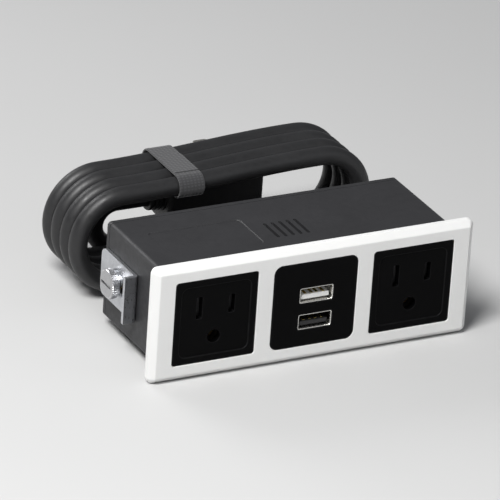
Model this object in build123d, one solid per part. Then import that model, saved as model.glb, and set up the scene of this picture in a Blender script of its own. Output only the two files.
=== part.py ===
from build123d import *
import math
import os

# A flush panel-mounted desk power module: two grounded outlets and a two-port
# USB charger in one snap-in housing, a trim bezel in front, two sliding panel
# brackets behind, and a tied supply cord.
# Frame: origin at the centre of the mounting plane (the panel's front face),
# +X to the right seen from the front, +Y into the panel, +Z up. Millimetres.

# ---- driving dimensions -------------------------------------------------
GAP = 0.05  # between parts that nearly touch
BEZEL_W, BEZEL_H, BEZEL_R = 127.0, 44.5, 2.4
BEZEL_T, BEZEL_BEVEL = 4.2, 2.2
FLANGE_W, FLANGE_H, FLANGE_T = 121.6, 39.2, 1.3
BOX_W, BOX_H, BOX_D, BOX_WALL = 116.0, 36.8, 44.0, 1.5
IN_W, IN_H = BOX_W - 2 * BOX_WALL, BOX_H - 2 * BOX_WALL
PLATE_IN = 0.2  # inner face of the housing's front plate
OUTLET_X = 39.0
AC_OPEN, USB_OPEN_W, USB_OPEN_H = 32.4, 33.4, 33.0
AC_FACE, USB_FACE_W, USB_FACE_H = 32.2, 33.2, 32.8
AC_FRONT, USB_FRONT, AC_DISH = 4.0, 4.1, 0.35
SEAT_OPEN, SKIRT, SKIRT_WALL = 31.0, 30.8, 1.6
SKIRT_IN = SKIRT - 2 * SKIRT_WALL
PEG_X, PEG_Z, PEG_W, PEG_H = 19.75, 11.0, 1.2, 5.0
BLADE_PITCH, BLADE_Z, GROUND_Z = 12.7, 5.1, -6.76
HALF_PITCH = BLADE_PITCH / 2
GROUND_HOLE_R = 2.5
USB_X, USB_Z = 0.8, {"upper": 3.3, "lower": -7.0}
USB_W, USB_H, USB_WALL = 13.1, 5.7, 0.4
COVER_T = 2.2
COVER_BACK = BOX_D + COVER_T
SCREW_X, SCREW_Z = 53.4, 13.8
CLAMP_Y = 34.0
PANEL_T = 19.0
CORD_X, CORD_D, CORD_START = 38.0, 7.0, 40.0
LOOP_X, LOOP_R, LOOP_PITCH, LOOP_Y0, LOOPS = 42.0, 17.2, 7.4, 66.0, 4
LOOP_END = LOOP_Y0 + LOOP_PITCH * LOOPS

SIDES = (-1, 1)
CORNERS = [(sx, sz) for sx in SIDES for sz in SIDES]
# pole, side of the outlet, slot height in the face, half height of the contact
POLES = (("neutral", -1, 8.4, 4.4), ("line", 1, 7.0, 3.8))


# ---- basic solids -------------------------------------------------------
def slab(width, height, y0, y1, x=0.0, z=0.0, radius=0.0):
    """A plate centred on (x, z), width along X, height along Z, from y0 to y1."""
    plane = Plane(origin=(x, y1, z), x_dir=(1, 0, 0), z_dir=(0, -1, 0))
    outline = RectangleRounded(width, height, radius) if radius else Rectangle(width, height)
    return extrude(plane * outline, amount=y1 - y0)


def rod_y(radius, y0, y1, x, z):
    plane = Plane(origin=(x, y1, z), x_dir=(1, 0, 0), z_dir=(0, -1, 0))
    return extrude(plane * Circle(radius), amount=y1 - y0)


def rod_x(radius, x0, x1, y, z):
    plane = Plane(origin=(x0, y, z), x_dir=(0, 1, 0), z_dir=(1, 0, 0))
    return extrude(plane * Circle(radius), amount=x1 - x0)


def rod_z(radius, z0, z1, x, y):
    plane = Plane(origin=(x, y, z0), x_dir=(1, 0, 0), z_dir=(0, 0, 1))
    return extrude(plane * Circle(radius), amount=z1 - z0)


def block(x0, x1, y0, y1, z0, z1):
    centre = Pos((x0 + x1) / 2, (y0 + y1) / 2, (z0 + z1) / 2)
    return centre * Box(x1 - x0, y1 - y0, z1 - z0)


def span(sign, near, far):
    """The range near to far on one side of zero, in rising order."""
    return sorted((sign * near, sign * far))


# ---- trim bezel and housing ---------------------------------------------
def make_bezel():
    bezel = slab(BEZEL_W, BEZEL_H, -BEZEL_T, 0, radius=BEZEL_R)
    front = bezel.faces().sort_by(Axis.Y)[0]
    bezel = chamfer(front.edges(), BEZEL_BEVEL)
    bezel -= slab(FLANGE_W + 0.4, FLANGE_H + 0.4, -FLANGE_T - 0.1, 0, radius=0.8)
    for sx in SIDES:
        bezel -= slab(AC_OPEN, AC_OPEN, -6, 1, x=sx * OUTLET_X, radius=1.2)
    bezel -= slab(USB_OPEN_W, USB_OPEN_H, -6, 1, radius=3.2)
    for sx, sz in CORNERS:
        bezel += slab(PEG_W, PEG_H, -1.6, 4.6, sx * PEG_X, sz * PEG_Z)
    return bezel


def make_housing():
    housing = slab(FLANGE_W, FLANGE_H, -FLANGE_T, 0, radius=0.6)
    housing += slab(BOX_W, BOX_H, 0, BOX_D, radius=1.5)
    housing -= slab(IN_W, IN_H, PLATE_IN, BOX_D + 1, radius=0.8)
    for x in (-OUTLET_X, 0, OUTLET_X):
        housing -= slab(SEAT_OPEN, SEAT_OPEN, -2, 1, x=x, radius=0.8)
    for sx in SIDES:
        for sz in SIDES:
            housing -= slab(PEG_W + 0.2, PEG_H + 0.2, -2, 1, sx * PEG_X, sz * PEG_Z)
        # wall between an outlet and the charger
        housing += slab(1.5, IN_H + 0.2, 5, 30, x=sx * 19.5)
        # boss for the clamping screw's insert
        housing += rod_x(4.5, *span(sx, 50.5, BOX_W / 2 - 0.2), CLAMP_Y, 0)
        housing -= rod_x(2.82, *span(sx, 50.0, 59.0), CLAMP_Y, 0)
        # cover screw bosses, kept inside the outer walls
        for sz in SIDES:
            boss = rod_y(3.3, 30, BOX_D, sx * SCREW_X, sz * SCREW_Z)
            housing += boss & slab(BOX_W - 1, BOX_H - 1, 29, 45)
    for sx, sz in CORNERS:
        housing -= rod_y(1.5, 32, BOX_D + 1, sx * SCREW_X, sz * SCREW_Z)
    # slots through the top and bottom walls
    slot_pitch = 3
    wall_z = (BOX_H - BOX_WALL) / 2
    for i in range(-2, 3):
        for sz in SIDES:
            housing -= slab(1.2, 2.4, 14, 26, i * slot_pitch, sz * wall_z)
    return housing


# ---- rear cover, its screws and the clamp inserts -----------------------
def make_rear_cover():
    cover = slab(BOX_W, BOX_H, BOX_D, COVER_BACK, radius=1.5)
    lip = slab(IN_W - 0.3, IN_H - 0.3, BOX_D - 1.4, BOX_D + 0.2, radius=0.6)
    lip -= slab(IN_W - 2.9, IN_H - 2.9, BOX_D - 2, BOX_D, radius=0.4)
    # the lip clears the screw bosses
    for sx, sz in CORNERS:
        lip -= block(*span(sx, 49.6, 57), BOX_D - 2, BOX_D, *span(sz, 10, 18))
    cover += lip
    cover -= rod_y(5.0, BOX_D - 1, BOX_D + 3, CORD_X, 0)
    for sx, sz in CORNERS:
        cover -= rod_y(1.6, BOX_D - 3, BOX_D + 3, sx * SCREW_X, sz * SCREW_Z)
    return cover


def make_cover_screw(x, z):
    screw = rod_y(1.45, 34, COVER_BACK + 0.2, x, z)
    head = rod_y(2.8, COVER_BACK, COVER_BACK + 1.8, x, z)
    screw += fillet(head.edges().group_by(Axis.Y)[-1], 0.7)
    # cross recess
    for width, height in ((0.7, 3.0), (3.0, 0.7)):
        screw -= slab(width, height, COVER_BACK + 0.7, COVER_BACK + 2, x, z)
    return screw


def make_insert(sx):
    x0, x1 = span(sx, 50.9, 57.8)
    return rod_x(2.8, x0, x1, CLAMP_Y, 0) - rod_x(2.02, x0 - 1, x1 + 1, CLAMP_Y, 0)


# ---- panel brackets, washers and thumb screws ---------------------------
# Distances outwards from the module's centre plane.
BRACKET_T = 1.5
BRACKET_IN = BOX_W / 2 + GAP
BRACKET_OUT = BRACKET_IN + BRACKET_T
CLAMP_OUT = 63.4  # edge of the bracket's foot and face of the screw head
WASHER_IN, WASHER_OUT = BRACKET_OUT + GAP, 60.4


def make_bracket(sx):
    bracket = block(*span(sx, BRACKET_IN, BRACKET_OUT), PANEL_T, 46, -9, 9)
    foot = span(sx, BRACKET_IN, CLAMP_OUT)
    bracket += block(*foot, PANEL_T, PANEL_T + BRACKET_T, -9, 9)
    # rounded free corners of the plate
    corners = bracket.edges().filter_by(Axis.X).group_by(Axis.Y)[-1]
    bracket = fillet(corners, 3.0)
    slot_x = span(sx, 57, 61)
    slot_r, slot_y0, slot_y1 = 2.2, 29.0, 41.0
    slot = block(*slot_x, slot_y0, slot_y1, -slot_r, slot_r)
    slot += rod_x(slot_r, *slot_x, slot_y0, 0) + rod_x(slot_r, *slot_x, slot_y1, 0)
    bracket -= slot
    # two gussets pressed into the bend
    near, far = sx * 59.4, sx * 61.6
    low, high = PANEL_T + 1.4, PANEL_T + 3.6
    for z in (-6.0, 6.0):
        outline = Polygon((near, low), (far, low), (near, high), align=None)
        bracket += extrude(Plane(origin=(0, 0, z - 0.75)) * outline, amount=1.5)
    return bracket


def make_washer(sx):
    x0, x1 = span(sx, WASHER_IN, WASHER_OUT)
    return rod_x(4.5, x0, x1, CLAMP_Y, 0) - rod_x(2.1, x0 - 1, x1 + 1, CLAMP_Y, 0)


def make_thumb_screw(sx):
    x0, x1 = span(sx, WASHER_OUT + GAP, CLAMP_OUT)
    head = rod_x(5.5, x0, x1, CLAMP_Y, 0)
    grips, grip_r, grip_circle = 16, 0.55, 5.6
    for k in range(grips):
        angle = 2 * math.pi * k / grips
        y = CLAMP_Y + grip_circle * math.cos(angle)
        head -= rod_x(grip_r, x0 - 1, x1 + 1, y, grip_circle * math.sin(angle))
    screw = head + rod_x(1.97, *span(sx, 51.2, 60.6), CLAMP_Y, 0)
    screw -= block(*span(sx, 62.6, 64), CLAMP_Y - 3.6, CLAMP_Y + 3.6, -0.5, 0.5)
    return screw


# ---- grounded outlets, centred on x = cx --------------------------------
SHUTTER_W, SHUTTER_H = 4.0, 10.0
CONTACT_Y0, CONTACT_Y1 = 3, 18
SPRING_R, SPRING_WIRE, SPRING_TURNS = 0.55, 0.28, 5


def add_bumps(face, cx):
    """Four snap bumps above and below a face's skirt, behind the front plate."""
    for sz in SIDES:
        for dx in (-8, 8):
            x = cx + dx
            face += block(x - 2, x + 2, PLATE_IN + GAP, 1.8, *span(sz, 15.2, 16.0))
    return face


def make_outlet_face(cx):
    face = slab(AC_FACE, AC_FACE, -AC_FRONT, -FLANGE_T, x=cx, radius=1.1)
    face += slab(SKIRT, SKIRT, -FLANGE_T - 0.1, 6, x=cx, radius=0.7)
    face -= slab(SKIRT_IN, SKIRT_IN, -1.0, 7, x=cx, radius=0.3)
    face -= slab(27.0, 27.0, -6, -AC_FRONT + AC_DISH, x=cx, radius=2.5)
    for _, sign, slot_h, _ in POLES:
        face -= slab(2.3, slot_h, -6, 0, cx + sign * HALF_PITCH, BLADE_Z, 0.3)
    face -= rod_y(GROUND_HOLE_R, -6, 0, cx, GROUND_Z)
    return add_bumps(face, cx)


def make_outlet_body(cx):
    body = slab(27.4, 27.4, 1.2, 6.2, x=cx, radius=0.3)
    body += slab(SKIRT, SKIRT, 6, 24, x=cx, radius=0.7)
    # each contact has a pocket and a narrow slot for its tail
    for _, sign, _, half_h in POLES:
        x = cx + sign * HALF_PITCH
        body -= slab(4.4, 2 * (half_h + 0.6), 0, 21, x, BLADE_Z)
        body -= slab(1.0, 6.5, 20, 25, x, BLADE_Z)
    body -= rod_y(4.0, 0, 21, cx, GROUND_Z)
    body -= slab(1.0, 6.5, 20, 25, cx, GROUND_Z)
    return body


def contact_tail(x, z):
    return slab(0.8, 6.3, CONTACT_Y1 - 0.1, 30, x, z)


def make_blade_contact(x, half_h):
    height = 2 * half_h
    contact = slab(0.6, height, CONTACT_Y0, CONTACT_Y1, x - 1.15, BLADE_Z)
    contact += slab(0.6, height, CONTACT_Y0, CONTACT_Y1, x + 1.15, BLADE_Z)
    contact += slab(2.9, height, CONTACT_Y1 - 0.6, CONTACT_Y1, x, BLADE_Z)
    contact += contact_tail(x, BLADE_Z)
    return contact


def make_ground_contact(cx):
    contact = rod_y(3.5, CONTACT_Y0, CONTACT_Y1, cx, GROUND_Z)
    contact -= rod_y(2.65, 2, 17.2, cx, GROUND_Z)
    contact -= slab(1.0, 8.0, 2, 14, cx, GROUND_Z)
    contact += contact_tail(cx, GROUND_Z)
    return contact


def make_shutter(x, sign):
    shutter = slab(SHUTTER_W, SHUTTER_H, -0.8, 1.0, x, BLADE_Z)
    # ramp on the edge that the blade pushes
    inner = x - sign * SHUTTER_W / 2
    ramp = Polygon((inner, -0.81), (inner + sign * 1.3, -0.81), (inner, 0.6), align=None)
    shutter -= extrude(Plane(origin=(0, 0, BLADE_Z - 6)) * ramp, amount=12)
    return shutter


def make_spring(cx, sign):
    """Coil spring from the shutter's outer edge to the face's skirt."""
    near = cx + sign * (HALF_PITCH + SHUTTER_W / 2 + GAP)
    far = cx + sign * (SKIRT_IN / 2 - GAP)
    height = abs(far - near) - SPRING_WIRE
    helix = Helix(
        pitch=height / SPRING_TURNS, height=height, radius=SPRING_R,
        center=(min(near, far) + SPRING_WIRE / 2, 0.1, BLADE_Z), direction=(1, 0, 0),
    )
    section = Plane(origin=helix @ 0, z_dir=helix % 0) * Circle(SPRING_WIRE / 2)
    return sweep(section, path=helix, is_frenet=True)


# ---- USB charger --------------------------------------------------------
BOARD_FRONT, BOARD_BACK = 12, 13.6
CASE_FRONT, CASE_BACK = 4, 34
# The wires' crossing heights, and where two of them enter the charger.
CORE_Z = 1.0
LINE_Z, NEUTRAL_Z, GROUND_LANE_Z = 9.5, CORE_Z, -10.5
CHARGER_WIRE_X = 11.0


def make_usb_face():
    face = slab(USB_FACE_W, USB_FACE_H, -USB_FRONT, -FLANGE_T, radius=3.1)
    skirt = slab(SKIRT, SKIRT, -FLANGE_T - 0.1, CASE_FRONT, radius=0.7)
    face += skirt - slab(SKIRT_IN, SKIRT_IN, -FLANGE_T, 5, radius=0.3)
    for z in USB_Z.values():
        face -= slab(USB_W + 0.3, USB_H + 0.3, -6, 0, USB_X, z, 0.7)
    return add_bumps(face, 0)


def make_usb_shell(z):
    wall = USB_WALL
    shell = slab(USB_W, USB_H, -3.8, 12, USB_X, z, 0.6)
    shell -= slab(USB_W - 2 * wall, USB_H - 2 * wall, -6, 11.4, USB_X, z, 0.3)
    # windows in the upper and lower walls
    for dx in (-3.2, 3.2):
        for sz in SIDES:
            shell -= slab(1.8, 0.8, 1.0, 5.5, USB_X + dx, z + sz * (USB_H - wall) / 2)
    return shell


def make_usb_tongue(z):
    tongue = block(USB_X - 5.55, USB_X + 5.55, -2.8, 9.0, z - 1.95, z - 0.15)
    tongue += slab(11.8, 4.4, 8.6, 11.3, USB_X, z)
    return tongue


def make_usb_contacts():
    strips = []
    for z in USB_Z.values():
        for dx in (-3.5, -1.0, 1.0, 3.5):
            x = USB_X + dx
            strips.append(block(x - 0.5, x + 0.5, -2.1, 8.5, z - 0.15, z))
    return Compound(children=strips)


def make_charger_case():
    case = slab(30.6, 30.6, CASE_FRONT, CASE_BACK, radius=0.7)
    case -= slab(28.2, 28.2, 3, CASE_BACK - 1.2, radius=0.4)
    # corner blocks behind the board
    for sx, sz in CORNERS:
        x_range, z_range = span(sx, 11.5, 14.3), span(sz, 11.5, 14.3)
        case += block(*x_range, BOARD_BACK, BOARD_BACK + 3, *z_range)
    # holes for the line and neutral wires
    case -= rod_y(1.2, 32, 35, CHARGER_WIRE_X, LINE_Z)
    case -= rod_y(1.2, 32, 35, -CHARGER_WIRE_X, NEUTRAL_Z)
    return case


def make_transformer_core():
    core = block(-9, 7, 17, 25, -12, 2)
    for x0 in (-6.0, 1.5):
        core -= block(x0, x0 + 2.5, 16, 26, -9.5, -0.5)
    return core


def make_transformer_coil():
    coil = block(-5.9, 3.9, 14.6, 27.4, -9.3, -0.7)
    coil -= block(-3.6, 1.6, 16.9, 25.1, -10, 0)
    return fillet(coil.edges().filter_by(Axis.Z), 0.09)


def make_capacitor(x):
    can = rod_y(4.0, BOARD_BACK, 26.5, x, 8.2)
    return fillet(can.edges().group_by(Axis.Y)[-1], 0.6)


def make_fuse():
    x, y = 9.6, 15.5
    return rod_z(1.7, -3.6, 4.4, x, y) + rod_z(1.9, -3.8, -1.6, x, y) + rod_z(1.9, 2.4, 4.6, x, y)


# ---- wiring -------------------------------------------------------------
WIRE_R = 1.0
LANE_Y, FEED_Y = 36.5, 39.0
CORE_DX = 1.7  # line and neutral cores, to each side of the cord's axis


def bend(x, y, z):
    return Pos(x, y, z) * Sphere(WIRE_R)


def make_harness(lane_z, x0, x1, drops, feed, charger_x=None):
    """Wires along X at lane_z, with drops to the outlets and a feed to the cord."""
    wires = rod_x(WIRE_R, x0, x1, LANE_Y, lane_z)
    wires = wires + bend(x0, LANE_Y, lane_z) + bend(x1, LANE_Y, lane_z)
    for x, z in drops:
        drop = rod_z(WIRE_R, *sorted((z, lane_z)), x, LANE_Y)
        wires += drop + bend(x, LANE_Y, z) + bend(x, LANE_Y, lane_z)
        wires += rod_y(WIRE_R, 33.0, LANE_Y, x, z)
    x, z = feed
    if z == lane_z:
        wires += rod_y(WIRE_R, LANE_Y, CORD_START, x, z)
    else:
        back = rod_y(WIRE_R, LANE_Y, FEED_Y, x, lane_z)
        wires += back + bend(x, FEED_Y, lane_z) + bend(x, LANE_Y, lane_z)
        wires += rod_z(WIRE_R, *sorted((z, lane_z)), x, FEED_Y)
        wires += rod_y(WIRE_R, 38.2, CORD_START, x, z)
    if charger_x is not None:
        wires += rod_y(WIRE_R, BOARD_BACK, LANE_Y, charger_x, lane_z)
    return wires


def make_terminal(x, z):
    terminal = slab(3.0, 7.4, 24.4, 31.0, x, z, 0.6) - slab(0.9, 6.4, 24, 30.1, x, z)
    terminal += slab(2.6, 3.4, 30.9, 33.0, x, z, 0.8)
    return terminal


# ---- strain relief and cord ---------------------------------------------
def make_strain_relief():
    boot = rod_y(6.8, BOX_D - 2.4, BOX_D, CORD_X, 0)
    boot = boot + rod_y(4.95, BOX_D - 0.2, COVER_BACK + 0.2, CORD_X, 0)
    boot += rod_y(6.2, COVER_BACK, COVER_BACK + 2.2, CORD_X, 0)
    base = Plane(origin=(CORD_X, COVER_BACK + 2.0, 0), x_dir=(1, 0, 0), z_dir=(0, 1, 0))
    boot += extrude(base * Circle(5.6), amount=6.6, taper=6)
    # three grooves round the cone
    for k in range(3):
        y = COVER_BACK + 3.6 + 1.7 * k
        core = rod_y(4.5 - 0.1 * k, y - 0.1, y + 0.8, CORD_X, 0)
        boot -= rod_y(7, y, y + 0.7, CORD_X, 0) - core
    boot -= rod_y(CORD_D / 2 + 0.03, BOX_D - 3, 70, CORD_X, 0)
    return boot


PLUG_X0, PLUG_X1 = -12.0, 27.0
TURN_R = 10.0  # from the exit direction to the diagonal
SWEEP_R = 14.0  # from the diagonal into the first bottom strand
RETURN_X, RETURN_R = -30.0, LOOP_R / 2


def top_strand(y):
    """A top strand climbing one pitch from y, left to right."""
    points = (
        (-LOOP_X, y, LOOP_R),
        (0, y + LOOP_PITCH / 2, LOOP_R),
        (LOOP_X, y + LOOP_PITCH, LOOP_R),
    )
    return Spline(*points, tangents=[(1, 0, 0), (1, 0, 0)])


def half_turn(x, bulge, y, z0, z1):
    """A half circle in XZ from z0 to z1, reaching out to x + bulge."""
    return ThreePointArc((x, y, z0), (x + bulge, y, (z0 + z1) / 2), (x, y, z1))


def make_cord():
    y = LOOP_Y0
    diag = math.cos(math.radians(45))
    # out of the module, then down and to the left along the diagonal
    turn_start = (CORD_X, y - TURN_R, 0)
    turn_end = (CORD_X - TURN_R * diag, y, -TURN_R * diag)
    inset = TURN_R * (1 - diag) * diag
    turn_mid = (CORD_X - inset, y - TURN_R + TURN_R * diag, -inset)
    drop = LOOP_R - TURN_R * diag - SWEEP_R * (1 - diag)
    sweep_start = (turn_end[0] - drop, y, turn_end[2] - drop)
    strand_x = sweep_start[0] - SWEEP_R * diag
    angle = math.radians(22.5)
    sweep_mid = (
        strand_x + SWEEP_R * math.sin(angle),
        y,
        -LOOP_R + SWEEP_R - SWEEP_R * math.cos(angle),
    )
    edges = [
        Line((CORD_X, CORD_START, 0), turn_start),
        ThreePointArc(turn_start, turn_mid, turn_end),
        Line(turn_end, sweep_start),
        ThreePointArc(sweep_start, sweep_mid, (strand_x, y, -LOOP_R)),
    ]
    for k in range(LOOPS):
        y = LOOP_Y0 + LOOP_PITCH * k
        edges.append(Line((strand_x, y, -LOOP_R), (-LOOP_X, y, -LOOP_R)))
        edges.append(half_turn(-LOOP_X, -LOOP_R, y, -LOOP_R, LOOP_R))
        edges.append(top_strand(y))
        edges.append(half_turn(LOOP_X, LOOP_R, y + LOOP_PITCH, LOOP_R, -LOOP_R))
        strand_x = LOOP_X
    edges.append(Line((LOOP_X, LOOP_END, -LOOP_R), (RETURN_X, LOOP_END, -LOOP_R)))
    edges.append(half_turn(RETURN_X, -RETURN_R, LOOP_END, -LOOP_R, 0))
    edges.append(Line((RETURN_X, LOOP_END, 0), (PLUG_X0 + 4.0, LOOP_END, 0)))
    start = Plane(origin=(CORD_X, CORD_START, 0), x_dir=(1, 0, 0), z_dir=(0, 1, 0))
    return sweep(start * Circle(CORD_D / 2), path=Wire(edges))


# ---- flat plug ----------------------------------------------------------
# The cord enters from the side; the blades point away from the module.
PIN_X = 4.0
PLUG_BLADE_X = PIN_X + 11.86
PLUG_BLADE_W, PLUG_BLADE_T = 6.35, 1.5
PLUG_HALF_T = 8.0
PLUG_FACE = LOOP_END + PLUG_HALF_T


def make_plug_body():
    width, x = PLUG_X1 - PLUG_X0, (PLUG_X0 + PLUG_X1) / 2
    body = slab(width, 25.0, LOOP_END - PLUG_HALF_T, PLUG_FACE, x=x, radius=5.5)
    body = fillet(body.edges().group_by(Axis.Y)[0], 2.2)
    body = fillet(body.edges().group_by(Axis.Y)[-1], 1.2)
    body += rod_x(5.6, PLUG_X0 - 6.0, PLUG_X0 + 3, LOOP_END, 0)
    body -= rod_x(CORD_D / 2 + 0.02, PLUG_X0 - 8, PLUG_X0 + 4.02, LOOP_END, 0)
    slot_w, slot_h = PLUG_BLADE_W + 0.04, PLUG_BLADE_T + 0.04
    for z in (HALF_PITCH, -HALF_PITCH):
        body -= slab(slot_w, slot_h, PLUG_FACE - 8, PLUG_FACE + 1, PLUG_BLADE_X, z)
    body -= rod_y(2.82, PLUG_FACE - 8, PLUG_FACE + 1, PIN_X, 0)
    return body


def make_plug_blade(z):
    y0, y1 = PLUG_FACE - 8, PLUG_FACE + 17.5
    blade = slab(PLUG_BLADE_W, PLUG_BLADE_T, y0, y1, PLUG_BLADE_X, z)
    blade = chamfer(blade.edges().group_by(Axis.Y)[-1], 0.5)
    blade -= rod_z(1.6, z - 2, z + 2, PLUG_BLADE_X, PLUG_FACE + 12.0)
    return blade


def make_ground_pin():
    pin = rod_y(2.38, PLUG_FACE - 1, PLUG_FACE + 20.0, PIN_X, 0)
    pin = fillet(pin.edges().group_by(Axis.Y)[-1], 1.6)
    # collar moulded into the plug
    pin += rod_y(2.8, PLUG_FACE - 8, PLUG_FACE, PIN_X, 0)
    return pin


# ---- cord ties ----------------------------------------------------------
TIE_X, TIE_W, TIE_T = -16.0, 10, 0.7


def climb(x):
    """How far a top strand has climbed towards the next turn at x."""
    strand = top_strand(LOOP_Y0)
    low, high = 0.0, 1.0
    for _ in range(40):
        middle = (low + high) / 2
        if (strand @ middle).X < x:
            low = middle
        else:
            high = middle
    return (strand @ low).Y - LOOP_Y0


def make_tie(z, y_first, y_last):
    """A band round the strands at height z, between two strand centres."""
    height = CORD_D + 0.5
    length = y_last - y_first + height
    centre = (TIE_X - TIE_W / 2, (y_first + y_last) / 2, z)
    plane = Plane(origin=centre, x_dir=(0, 1, 0), z_dir=(1, 0, 0))
    out_l, out_h = length + 2 * TIE_T, height + 2 * TIE_T
    tie = extrude(plane * RectangleRounded(out_l, out_h, out_h / 2 - 0.01), amount=TIE_W)
    tie -= extrude(plane * RectangleRounded(length, height, height / 2 - 0.01), amount=TIE_W)
    return tie


def make_ties():
    top_first = LOOP_Y0 + climb(TIE_X - TIE_W / 2)
    top_last = LOOP_END - LOOP_PITCH + climb(TIE_X + TIE_W / 2)
    bottom = make_tie(-LOOP_R, LOOP_Y0, LOOP_END)
    return Compound(children=[bottom, make_tie(LOOP_R, top_first, top_last)])


# ---- build and write ----------------------------------------------------
os.makedirs("parts", exist_ok=True)


def save(name, shape):
    export_step(shape, f"parts/{name}.step")


save("bezel", make_bezel())
save("housing", make_housing())
save("rear_cover", make_rear_cover())
cover_screws = [make_cover_screw(sx * SCREW_X, sz * SCREW_Z) for sx, sz in CORNERS]
save("cover_screws", Compound(children=cover_screws))
save("bracket_inserts", Compound(children=[make_insert(sx) for sx in SIDES]))

terminals = []
for side, sx in (("left", -1), ("right", 1)):
    save(f"{side}_bracket", make_bracket(sx))
    save(f"{side}_washer", make_washer(sx))
    save(f"{side}_thumb_screw", make_thumb_screw(sx))
    cx = sx * OUTLET_X
    save(f"{side}_outlet_face", make_outlet_face(cx))
    save(f"{side}_outlet_body", make_outlet_body(cx))
    save(f"{side}_ground_contact", make_ground_contact(cx))
    for pole, sign, _, half_h in POLES:
        x = cx + sign * HALF_PITCH
        save(f"{side}_{pole}_contact", make_blade_contact(x, half_h))
        save(f"{side}_{pole}_shutter", make_shutter(x, sign))
        save(f"{side}_{pole}_spring", make_spring(cx, sign))
        terminals.append(make_terminal(x, BLADE_Z))
    terminals.append(make_terminal(cx, GROUND_Z))
save("wire_terminals", Compound(children=terminals))

save("usb_face", make_usb_face())
for port, z in USB_Z.items():
    save(f"{port}_usb_shell", make_usb_shell(z))
    save(f"{port}_usb_tongue", make_usb_tongue(z))
save("usb_contacts", make_usb_contacts())
save("charger_case", make_charger_case())
save("charger_board", slab(27.6, 27.6, BOARD_FRONT, BOARD_BACK, radius=0.4))
save("transformer_core", make_transformer_core())
save("transformer_coil", make_transformer_coil())
save("charger_capacitors", Compound(children=[make_capacitor(x) for x in (-6.6, 2.6)]))
save("charger_rectifier", block(8.6, 12.6, BOARD_BACK, 19.0, -10.8, -5.2))
save("charger_fuse", make_fuse())
save("charger_chip", block(-4, 2, 10.8, BOARD_FRONT, 8.6, 12.4))

for pole, sign, lane_z, x0, x1 in (
    ("line", 1, LINE_Z, -OUTLET_X + HALF_PITCH, OUTLET_X + HALF_PITCH),
    ("neutral", -1, NEUTRAL_Z, -OUTLET_X - HALF_PITCH, CORD_X - CORE_DX),
):
    drops = [(sx * OUTLET_X + sign * HALF_PITCH, BLADE_Z) for sx in SIDES]
    feed = (CORD_X + sign * CORE_DX, CORE_Z)
    wires = make_harness(lane_z, x0, x1, drops, feed, sign * CHARGER_WIRE_X)
    save(f"{pole}_wires", wires)
drops = [(sx * OUTLET_X, GROUND_Z) for sx in SIDES]
wires = make_harness(GROUND_LANE_Z, -OUTLET_X, OUTLET_X, drops, (CORD_X, -1.9))
save("ground_wires", wires)

save("strain_relief", make_strain_relief())
save("power_cord", make_cord())
save("plug_body", make_plug_body())
blades = [make_plug_blade(z) for z in (-HALF_PITCH, HALF_PITCH)]
save("plug_blades", Compound(children=blades))
save("plug_ground_pin", make_ground_pin())
save("cord_ties", make_ties())
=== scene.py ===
import math

import bmesh
import bpy
import numpy as np
from mathutils import Matrix, Vector


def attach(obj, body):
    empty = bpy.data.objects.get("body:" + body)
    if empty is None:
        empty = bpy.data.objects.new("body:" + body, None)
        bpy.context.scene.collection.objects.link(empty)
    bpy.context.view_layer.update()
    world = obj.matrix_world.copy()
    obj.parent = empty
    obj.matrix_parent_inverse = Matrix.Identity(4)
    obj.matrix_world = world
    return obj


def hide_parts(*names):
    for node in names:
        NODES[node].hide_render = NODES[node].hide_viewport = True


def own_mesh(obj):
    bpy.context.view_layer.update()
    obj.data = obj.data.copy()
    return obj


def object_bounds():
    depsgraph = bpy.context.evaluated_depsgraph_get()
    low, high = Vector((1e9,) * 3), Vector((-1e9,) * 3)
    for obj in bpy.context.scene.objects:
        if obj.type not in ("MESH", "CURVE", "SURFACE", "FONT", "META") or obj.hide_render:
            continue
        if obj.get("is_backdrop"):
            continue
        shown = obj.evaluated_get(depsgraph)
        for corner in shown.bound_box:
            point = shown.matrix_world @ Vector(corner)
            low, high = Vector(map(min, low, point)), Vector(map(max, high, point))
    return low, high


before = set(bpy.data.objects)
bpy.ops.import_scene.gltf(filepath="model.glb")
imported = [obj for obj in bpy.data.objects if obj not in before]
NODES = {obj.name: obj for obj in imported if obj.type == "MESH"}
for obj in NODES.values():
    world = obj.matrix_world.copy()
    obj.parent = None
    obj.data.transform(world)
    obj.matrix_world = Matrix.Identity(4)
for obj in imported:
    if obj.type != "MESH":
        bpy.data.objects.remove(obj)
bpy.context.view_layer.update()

MM = 0.001

# ------------------------------------------------------------------ sizes (mm)
W, H, R = 127.0, 44.5, 2.4
FRONT, BEVEL = 4.2, 2.2
AC_W, AC_FACE, AC_FRONT, AC_FLOOR = 32.4, 32.2, 4.0, 3.65
USB_OW, USB_OH, USB_FW, USB_FH, USB_FRONT = 33.4, 33.0, 33.2, 32.8, 4.1
OUT_X, HALF, BLADE_Z, GROUND_Z = 39.0, 6.35, 5.1, -6.76
USB_X, USB_UP, USB_LOW = 0.8, 3.3, -7.0
CORD_X, CORD_R = 38.0, 3.5
LOOP_X, LOOP_R, PITCH, Y1, LOOPS = 42.0, 17.2, 7.4, 66.0, 4
YN = Y1 + PITCH * LOOPS


# ------------------------------------------------------------------ mesh code
def rrect(w, h, r, cx=0.0, cz=0.0, n=8):
    r = max(min(r, w / 2 - 1e-3, h / 2 - 1e-3), 0.02)
    pts = []
    for sx, sz, a0 in ((1, 1, 0), (-1, 1, 90), (-1, -1, 180), (1, -1, 270)):
        for i in range(n + 1):
            a = math.radians(a0 + 90 * i / n)
            pts.append((cx + sx * (w / 2 - r) + r * math.cos(a), cz + sz * (h / 2 - r) + r * math.sin(a)))
    return pts


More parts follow.
